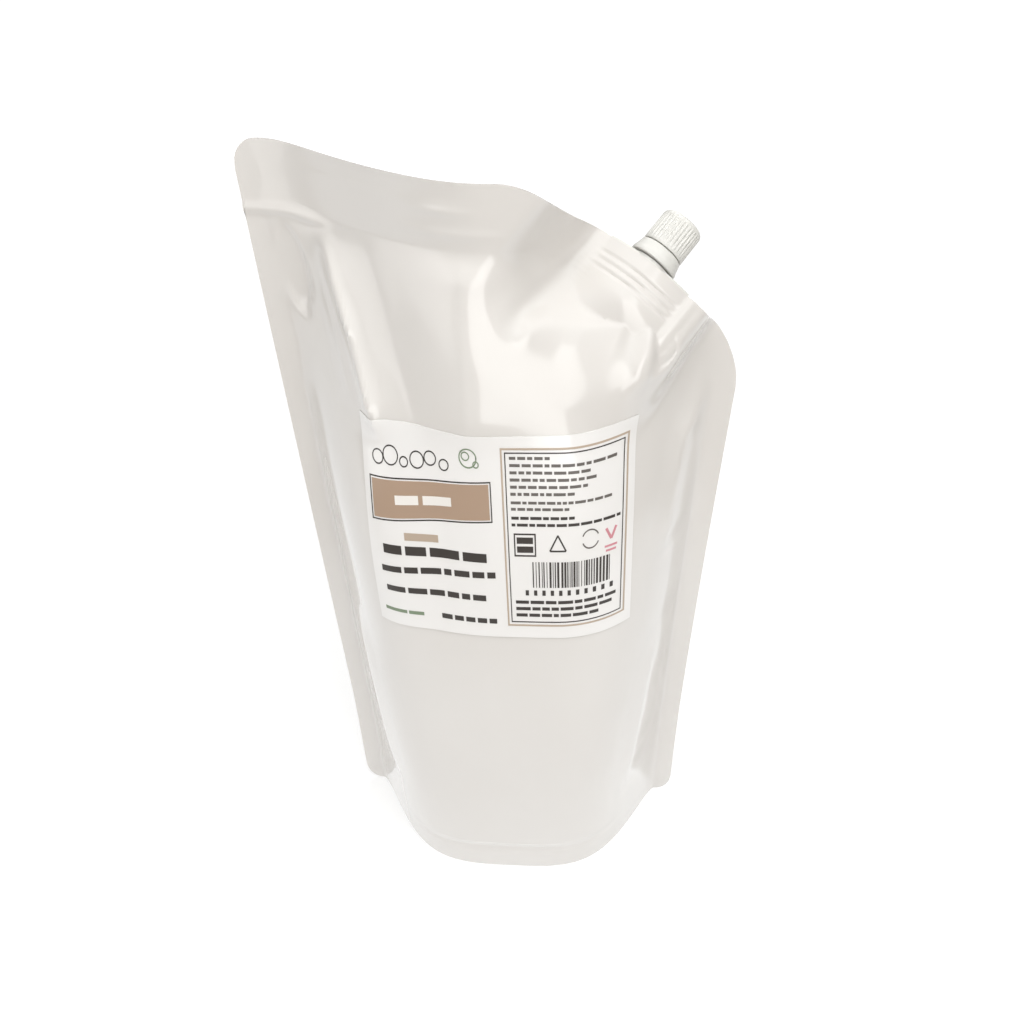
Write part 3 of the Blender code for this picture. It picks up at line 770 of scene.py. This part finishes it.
def words(x0, x1, y, tall, seed, gap=1.2, shortest=2.0, longest=8.0):
    """A line of bars of drawn lengths with even gaps, as a line of words looks from afar."""
    draw = np.random.default_rng(seed)
    shapes, x = [], x0
    while x < x1 - shortest:
        end = min(x1, x + draw.uniform(shortest, longest))
        shapes.append(bar(x, y, end, y + tall))
        x = end + gap
    return shapes


def print_piece(name, shapes, ink_of, low=INK_LOW, high=INK_HIGH):
    """One piece of ink from many shapes."""
    points, faces, start = [], [], 0
    for x, y in shapes:
        more, quads = slab(x, y, low, high, start)
        points.append(more)
        faces.append(quads)
        start += len(more)
    return add_piece(name, np.concatenate(points), np.concatenate(faces), ink_of, "pack")


print("a line of words 40 mm long:", len(words(0.0, 40.0, 0.0, 2.0, 1)), "bars")

# %% Left half: a row of bubbles, a brown band, and lines of words
BAND = (2.4, 39.2, 50.6, 53.2)
BAND_RISE = 0.075


def sloped(shapes, x0, rise):
    """The same shapes, raised in proportion to their distance from x0."""
    return [(x, y + rise * (x - x0)) for x, y in shapes]


def left_half():
    """Bubbles above, a framed band with pale words, four lines of words, and a few small green signs."""
    bubbles = [ring(6.6 + 5.3 * k, 59.5 + 1.0 * math.sin(2.1 * k), r, 0.42)
               for k, r in enumerate((2.4, 3.2, 1.8, 2.9, 2.5, 2.0))]
    dark = sloped(frame_lines(*BAND, 0.42), BAND[0], BAND_RISE)
    dark += words(5.8, 47.5, 28.3, 3.2, 3, 1.5, 7.0, 13.0)
    dark += sloped(words(4.2, 50.6, 21.3, 2.2, 4, 1.2, 2.5, 8.5), 4.0, 0.03)
    dark += words(5.2, 49.4, 13.9, 2.1, 5, 1.2, 3.0, 9.0)
    dark += words(27.4, 50.2, 5.3, 1.8, 6, 1.0, 2.5, 6.0)
    print_piece("label_bubbles", sloped(bubbles, 6.6, 0.08), INK_DARK)
    print_piece("label_words_left", dark, INK_DARK)
    inner = [bar(BAND[0] + 0.9, BAND[1] + 0.9, BAND[2] - 0.9, BAND[3] - 0.9)]
    print_piece("label_band", sloped(inner, BAND[0], BAND_RISE), INK_BROWN)
    pale = sloped(words(12.5, 39.5, 44.6, 3.0, 7, 1.8, 5.0, 12.0), BAND[0], BAND_RISE)
    print_piece("label_band_words", pale, INK_PALE, PALE_LOW, PALE_HIGH)
    print_piece("label_words_tan", words(15.0, 38.0, 33.6, 2.6, 8, 1.4, 9.0, 23.0), INK_TAN)
    green = words(3.2, 22.2, 5.4, 1.3, 9, 0.8, 5.0, 10.0)
    green += [ring(42.5, 64.2, 3.4, 0.45), ring(45.4, 62.2, 1.2, 0.4), ring(41.6, 64.8, 1.6, 0.4)]
    print_piece("label_green", green, INK_GREEN)


left_half()

# %% Right half: a double line frame with lines of words, four plain signs and a field of upright lines
PANEL = (54.6, 4.6, 101.4, 68.2)


def right_half():
    """Small words above, a square, a triangle, an open ring and a rose sign, upright lines, and words below."""
    x0, y0, x1, y1 = PANEL
    print_piece("label_frame_outer", frame_lines(x0, y0, x1, y1, 0.65), INK_TAN)
    dark = frame_lines(x0 + 1.5, y0 + 1.5, x1 - 1.5, y1 - 1.5, 0.38)
    left = x0 + 3.2
    grey = []
    ends = (x0 + 18.0, x1 - 3.5, x1 - 14.0, x1 - 10.5, x1 - 13.5, x0 + 27.0)
    for k, end in enumerate(ends):
        grey += words(left, end, 64.3 - 2.4 * k, 0.95, 20 + k, 0.7, 1.5, 4.5)
    for end, y, seed in ((x1 - 6.0, 49.4, 31), (x0 + 25.0, 47.2, 32)):
        grey += words(left, end, y, 0.9, seed, 0.6, 1.4, 4.0)
    for end, y, seed in ((x0 + 27.0, 44.1, 33), (x1 - 2.6, 41.7, 34)):
        dark += words(left, end, y, 0.95, seed, 0.6, 1.4, 4.5)
    dark += frame_lines(left + 0.6, 31.0, left + 9.0, 39.2, 0.5)
    dark += [bar(left + 1.7, 35.6, left + 7.9, 37.8), bar(left + 1.7, 32.4, left + 7.9, 34.6)]
    tip, foot, half = (x0 + 20.6, 38.6), 33.0, 3.1
    dark += [stroke(tip[0] - half, foot, tip[0] + half, foot, 0.55),
             stroke(tip[0] - half, foot, *tip, 0.55), stroke(tip[0] + half, foot, *tip, 0.55)]
    grey += [ring(x0 + 33.0, 36.6, 3.3, 0.45, 20.0, 160.0), ring(x0 + 33.0, 36.2, 3.3, 0.45, 200.0, 340.0)]
    draw = np.random.default_rng(40)
    x = x0 + 10.6
    while x < x1 - 6.0:
        wide = draw.choice([0.28, 0.45, 0.8])
        dark.append(bar(x, 19.6, x + wide, 29.0))
        x += wide + draw.choice([0.35, 0.5, 0.8])
    for k in range(11):
        at = x0 + 7.6 + 3.3 * k
        dark.append(bar(at, 16.6, at + 1.3, 18.5))
    for k, end in enumerate((x1 - 3.0, x1 - 3.0, x1 - 9.0)):
        dark += words(left + 0.4, end, 13.4 - 2.5 * k, 1.15, 50 + k, 0.7, 2.0, 6.0)
    print_piece("label_words_right", dark, INK_DARK)
    print_piece("label_words_grey", grey, INK_GREY)
    rose = [stroke(x0 + 38.9, 38.6, x0 + 40.9, 34.6, 0.9), stroke(x0 + 42.7, 38.6, x0 + 40.9, 34.6, 0.9),
            bar(x0 + 38.4, 31.8, x0 + 43.2, 32.5), bar(x0 + 38.9, 30.2, x0 + 42.8, 30.9)]
    print_piece("label_rose", rose, INK_ROSE)


right_half()

# %% [markdown]
# ## Cap and tamper ring
# Cap and tamper ring are moulded together and part when the cap is first turned. Both are turned shapes. A
# Screw modifier could turn an outline, but the fine grip ribs on the cap's skirt would then need an array of
# cuts. So an outline of radius and height is carried round the spout's axis, and on the skirt the radius
# follows a rounded wave of the angle.

# %% Sizes of the cap and the ring, in millimetres
CAP_LOW = 6.3
CAP_HIGH = 17.2
CAP_WIDE = 14.2
CAP_ROUND = 1.8
CAP_RIBS = 34
RING_LOW = 1.4
RING_HIGH = 6.0
RING_WIDE = 16.2
NECK = 10.0
BORE = 8.6
CAP_WALL = 1.15
CAP_ROOF = 14.6           # height of the roof's underside
PLUG_DEEP = 3.2
DRAFT = 0.12              # the skirt is this much narrower at its top
RIB_DEEP = 0.30
print("cap", CAP_WIDE, "mm wide with", CAP_RIBS, "ribs, ring", RING_WIDE, "mm wide")

# %% Turned pieces


def turned_piece(name, outline, steps, body, ribs=None):
    """A moulded piece: its points are axis + radius * (cosine, sine) of the angle + height along the axis.

    The outline is closed, or starts and ends on the axis; ribs(angle, radius, height) changes the radius.
    """
    outline = np.asarray(outline, float)
    angle = np.linspace(0.0, 2 * math.pi, steps, endpoint=False)[:, None]
    radius = np.broadcast_to(outline[:, 0], (steps, len(outline)))
    height = np.broadcast_to(outline[:, 1], radius.shape)
    if ribs:
        radius = radius + ribs(angle, radius, height)
    points = (SPOUT_AT + (radius * np.cos(angle))[..., None] * SPOUT_EDGE
              + (radius * np.sin(angle))[..., None] * SPOUT_BACK + height[..., None] * SPOUT_OUT)
    number = np.arange(steps * len(outline)).reshape(steps, len(outline))
    after = np.roll(number, -1, axis=0)
    ahead = np.roll(number, -1, axis=1)
    both = np.roll(after, -1, axis=1)
    quads = np.stack([number, after, both, ahead], axis=-1)
    if outline[0, 0] == 0.0:
        quads = quads[:, :-1]
    return add_piece(name, points.reshape(-1, 3), quads.reshape(-1, 4), MOULDED, body, 40.0)


def rounded(centre_r, centre_h, radius, start, end, steps=7):
    """Arc points of an outline, angles in degrees from straight out."""
    angle = np.radians(np.linspace(start, end, steps))
    return [(centre_r + radius * math.cos(a), centre_h + radius * math.sin(a)) for a in angle]


print("a quarter round has", len(rounded(0.0, 0.0, 1.0, 0.0, 90.0)), "points")

# %% The cap


def cap_ribs(angle, radius, height):
    """Grip ribs on the skirt: a wave with rounded tops, fading out at the rounded top edge and at the rim."""
    skirt = ease((radius - CAP_WIDE / 2 + 0.9) / 0.5) * ease((CAP_HIGH - 1.3 - height) / 0.8)
    skirt = skirt * ease((height - CAP_LOW - 0.9) / 0.5)
    return -RIB_DEEP * skirt * (0.5 - 0.5 * np.cos(CAP_RIBS * angle)) ** 1.4


def make_cap():
    """From the middle of the top over the rounded edge, down the skirt, and up inside to roof and plug."""
    outer = CAP_WIDE / 2
    inner = outer - CAP_WALL
    plug = BORE / 2 - 0.35
    foot = CAP_ROOF - PLUG_DEEP
    outline = [(0.0, CAP_HIGH - 0.12), (1.6, CAP_HIGH - 0.10), (2.4, CAP_HIGH)]
    outline += rounded(outer - CAP_ROUND - DRAFT, CAP_HIGH - CAP_ROUND, CAP_ROUND, 90.0, 0.0, 9)
    outline += [(outer - DRAFT + DRAFT * k / 8, CAP_HIGH - CAP_ROUND - 0.9 * (k + 1)) for k in range(8)]
    outline += [(outer, CAP_LOW + 0.9), (outer, CAP_LOW + 0.3)]
    outline += rounded(outer - 0.3, CAP_LOW + 0.3, 0.3, 0.0, -90.0, 4)
    outline += [(inner, CAP_LOW), (inner, CAP_ROOF), (plug, CAP_ROOF), (plug - 0.1, foot),
                (plug - 1.0, foot), (plug - 1.0, CAP_ROOF), (0.0, CAP_ROOF)]
    cap = turned_piece("cap_shell", outline, CAP_RIBS * 10, "cap", cap_ribs)
    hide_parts("cap")


make_cap()

# %% The tamper ring


def make_ring():
    """A closed outline: flat below, a bead at its widest, and a cone up to the cap's width."""
    inner = NECK / 2 + 0.5
    wide, narrow = RING_WIDE / 2, CAP_WIDE / 2
    outline = [(inner, RING_LOW)] + rounded(wide - 0.35, RING_LOW + 0.35, 0.35, -90.0, 0.0, 5)
    outline += [(wide - 0.02, RING_LOW + 1.1), (wide - 0.3, RING_LOW + 1.7), (narrow + 0.45, RING_LOW + 2.6),
                (narrow + 0.12, RING_HIGH - 0.5), (narrow, RING_HIGH - 0.2), (narrow - 0.25, RING_HIGH),
                (inner, RING_HIGH)]
    ring_piece = turned_piece("tamper_band", outline, 120, "pack")
    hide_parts("tamper_ring")


make_ring()

# %% [markdown]
# ## The spout
# The spout is mostly hidden by the film and the cap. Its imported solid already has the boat, the flange and
# the bored neck, so a new mesh would add nothing: it only gets the moulded finish.

# %% The spout's finish
spout = frame["nodes"]["spout"]
spout.data.materials.clear()
spout.data.materials.append(MOULDED)
print("spout has", len(spout.data.polygons), "faces")

# %% [markdown]
# ## Floor and light
# The pack stands on white, as on a studio sweep. A curved sheet behind it would do that, but its glow would
# be the same everywhere. So a white floor glows a little and fades to grey in front and on the right: painted
# shade, which also dims the pack's lower right side through what the film reflects and what the floor throws
# back. A soft light hangs overhead, a window to the front right shows in the glossy film, and two weaker lights
# fill in from the left and from behind. The world is bright above, and warm and dim on the right.

# %% Node helpers for the floor and the world


def coordinates(nodes, links, kind):
    """A node whose outputs are X, Y and Z of a kind of coordinates."""
    place = nodes.new("ShaderNodeTexCoord")
    apart = nodes.new("ShaderNodeSeparateXYZ")
    links.new(place.outputs[kind], apart.inputs["Vector"])
    return apart


def smooth_range(nodes, low, high, to_low=0.0, to_high=1.0):
    """A Map Range node with a smooth S: to_low below low, to_high above high."""
    made = nodes.new("ShaderNodeMapRange")
    made.interpolation_type = "SMOOTHSTEP"
    for name, value in (("From Min", low), ("From Max", high), ("To Min", to_low), ("To Max", to_high)):
        made.inputs[name].default_value = value
    return made


print("helpers for coordinates and soft ranges")

# %% The floor's glow and its painted shade
# where the floor's painted shade begins, and how long it takes to reach its grey
FADE_FRONT = 0.13         # the fade starts this far in front of the middle, in metres
FADE_RIGHT = 0.27         # and this far to the right, along a line that leans
FADE_LEAN = 0.34
FADE_OVER = 0.35          # and takes this long


def glow_floor(made, shader):
    """The floor's glow: a little stronger far behind the pack, where the lights reach less."""
    nodes, links = made.node_tree.nodes, made.node_tree.links
    apart = coordinates(nodes, links, "Object")
    far = smooth_range(nodes, 0.1, 1.4, 0.50, 0.78)
    links.new(apart.outputs["Y"], far.inputs["Value"])
    links.new(far.outputs["Result"], shader.inputs["Emission Strength"])


def floor_painted_shade(made, shader):
    """Painted shade on the floor: white where the pack stands and behind it, fading to a warm grey in front of
    the pack and to its right.

    The fade follows the larger of two distances: in front of one line, and to the right of another.
    """
    nodes, links = made.node_tree.nodes, made.node_tree.links
    apart = coordinates(nodes, links, "Object")
    front = nodes.new("ShaderNodeMath")
    front.operation = "MULTIPLY_ADD"
    front.inputs[1].default_value = -1.0
    front.inputs[2].default_value = -FADE_FRONT
    links.new(apart.outputs["Y"], front.inputs[0])
    lean = nodes.new("ShaderNodeMath")
    lean.operation = "MULTIPLY_ADD"
    lean.inputs[1].default_value = -FADE_LEAN
    links.new(apart.outputs["Y"], lean.inputs[0])
    links.new(apart.outputs["X"], lean.inputs[2])
    right = nodes.new("ShaderNodeMath")
    right.operation = "SUBTRACT"
    right.inputs[1].default_value = FADE_RIGHT
    links.new(lean.outputs[0], right.inputs[0])
    larger = nodes.new("ShaderNodeMath")
    larger.operation = "MAXIMUM"
    links.new(front.outputs[0], larger.inputs[0])
    links.new(right.outputs[0], larger.inputs[1])
    fade = smooth_range(nodes, 0.0, FADE_OVER)
    links.new(larger.outputs[0], fade.inputs["Value"])
    # near and far colours of the painted shade, for the floor's colour and for its glow
    for socket, near, far in (("Base Color", (0.55, 0.55, 0.55), (0.36, 0.34, 0.32)),
                              ("Emission Color", (1.0, 1.0, 1.0), (0.26, 0.24, 0.22))):
        mix = colour_mix(nodes, near, far)
        links.new(fade.outputs["Result"], mix.inputs[0])
        links.new(mix.outputs[COLOUR_RESULT], shader.inputs[socket])


print("the floor fades over", FADE_OVER, "m")

# %% The floor
FLOOR_HALF = 3.0


def add_floor():
    """One square at z = 0, riding on no body of the pack."""
    mesh = bpy.data.meshes.new("floor")
    corners = [(x * FLOOR_HALF, y * FLOOR_HALF, 0.0) for x, y in ((-1, -1), (1, -1), (1, 1), (-1, 1))]
    mesh.from_pydata(corners, [], [(0, 1, 2, 3)])
    floor = bpy.data.objects.new("floor", mesh)
    bpy.context.scene.collection.objects.link(floor)
    made = bpy.data.materials.new("pale_floor")
    made.use_nodes = True
    shader = made.node_tree.nodes["Principled BSDF"]
    shader.inputs["Roughness"].default_value = 0.9
    shader.inputs["Specular IOR Level"].default_value = 0.0
    glow_floor(made, shader)
    # painted shade: the floor greys in front of the pack and to its right
    floor_painted_shade(made, shader)
    mesh.materials.append(made)


add_floor()
print("floor", 2 * FLOOR_HALF, "m wide")

# %% Lights


def add_light(name, at, aim, wide, tall, watts, colour):
    """A rectangular area light at a place, facing another."""
    data = bpy.data.lights.new(name, "AREA")
    data.shape = "RECTANGLE"
    data.size = wide
    data.size_y = tall
    data.energy = watts
    data.color = colour
    light = bpy.data.objects.new(name, data)
    bpy.context.scene.collection.objects.link(light)
    away = np.array(at, float) - np.array(aim, float)
    away = away / np.linalg.norm(away)
    side = np.cross([0.0, 0.0, 1.0], away)
    side = side / np.linalg.norm(side)
    turn = np.eye(4)
    turn[:3, 0], turn[:3, 1], turn[:3, 2], turn[:3, 3] = side, np.cross(away, side), away, at
    light.matrix_world = mathutils.Matrix(turn.tolist())
    print(name, watts, "W, at", at)
    return light


lamp = add_light("lamp", (0.10, -0.24, 0.64), (0.0, 0.0, 0.2), 0.45, 0.45, 2.5, (1.0, 1.0, 0.99))
lamp.visible_glossy = False            # it lights the film, but only the window shows in it
add_light("window", (0.28, -1.2, 0.52), (0.0, 0.0, 0.2), 0.74, 0.94, 3.2, (1.0, 1.0, 0.985))
add_light("left_fill", (-1.0, -0.45, 0.5), (0.0, 0.0, 0.1), 0.6, 0.6, 0.7, (1.0, 0.985, 0.97))
add_light("behind", (0.2, 1.0, 1.1), (0.0, 0.0, 0.1), 0.9, 0.9, 4.0, (1.0, 1.0, 1.0))

# %% World
WORLD_STRENGTH = 0.72


def add_world():
    """A pale world: bright overhead, and from left to right fading to a warm grey near the horizon."""
    world = bpy.data.worlds.new("studio")
    bpy.context.scene.world = world
    world.use_nodes = True
    nodes, links = world.node_tree.nodes, world.node_tree.links
    back = nodes["Background"]
    apart = coordinates(nodes, links, "Generated")
    across = smooth_range(nodes, -0.7, 0.7)
    above = smooth_range(nodes, 0.25, 0.85)
    links.new(apart.outputs["X"], across.inputs["Value"])
    links.new(apart.outputs["Z"], above.inputs["Value"])
    sides = colour_mix(nodes, (0.42, 0.405, 0.39), (0.25, 0.23, 0.21))
    whole = colour_mix(nodes, None, (1.0, 1.0, 0.985))
    links.new(across.outputs["Result"], sides.inputs[0])
    links.new(sides.outputs[COLOUR_RESULT], whole.inputs[COLOUR_A])
    links.new(above.outputs["Result"], whole.inputs[0])
    links.new(whole.outputs[COLOUR_RESULT], back.inputs["Color"])
    back.inputs["Strength"].default_value = WORLD_STRENGTH


add_world()
bpy.context.scene.view_settings.view_transform = "Standard"
print("world strength", WORLD_STRENGTH)
